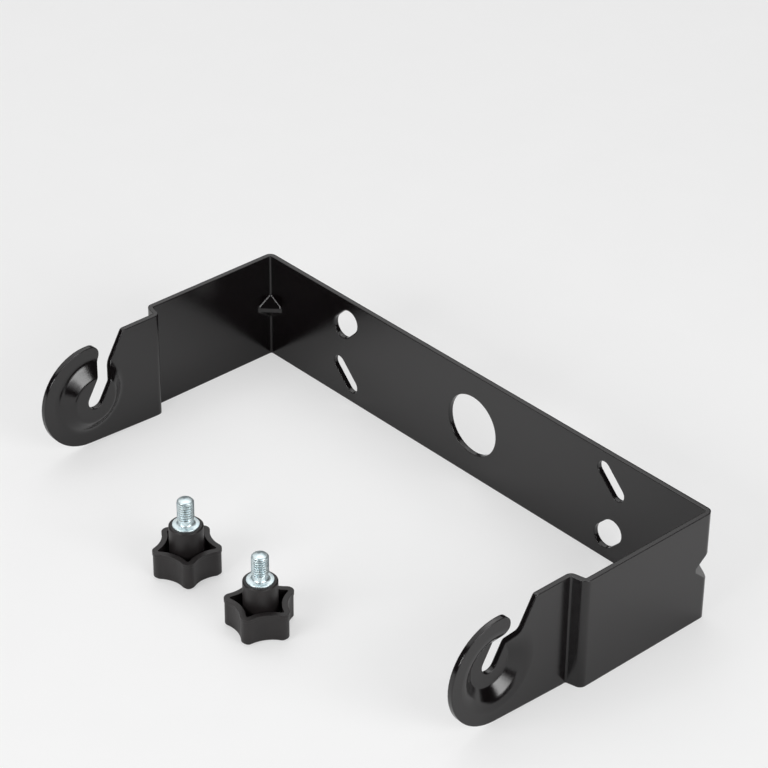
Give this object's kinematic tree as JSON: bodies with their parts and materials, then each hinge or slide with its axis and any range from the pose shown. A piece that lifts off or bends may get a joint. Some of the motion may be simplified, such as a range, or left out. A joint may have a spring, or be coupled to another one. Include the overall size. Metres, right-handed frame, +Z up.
{
  "type": "speaker wall bracket",
  "caption": "U-shaped folded steel yoke with open hook slots in dished arm ends, oblong wall holes in the back plate, and loose star-head tilt knobs.",
  "frame": {"origin": "centre of the centre hole on the wall face of the back plate", "axes": "+X along the back plate, arms reach towards -Y, +Y into the wall, +Z up"},
  "size_m": [0.3, 0.1695, 0.057],
  "materials": {
    "powder_coated_steel": "satin charcoal powder coat",
    "knob_plastic": "fine matte moulded plastic",
    "zinc_plated_steel": "bright zinc plating"
  },
  "bodies": {
    "root": {"yoke_sheet": "powder_coated_steel", "knob_head_left": "knob_plastic", "knob_head_right": "knob_plastic", "knob_stud_left": "zinc_plated_steel", "knob_stud_right": "zinc_plated_steel"}
  },
  "joints": []
}
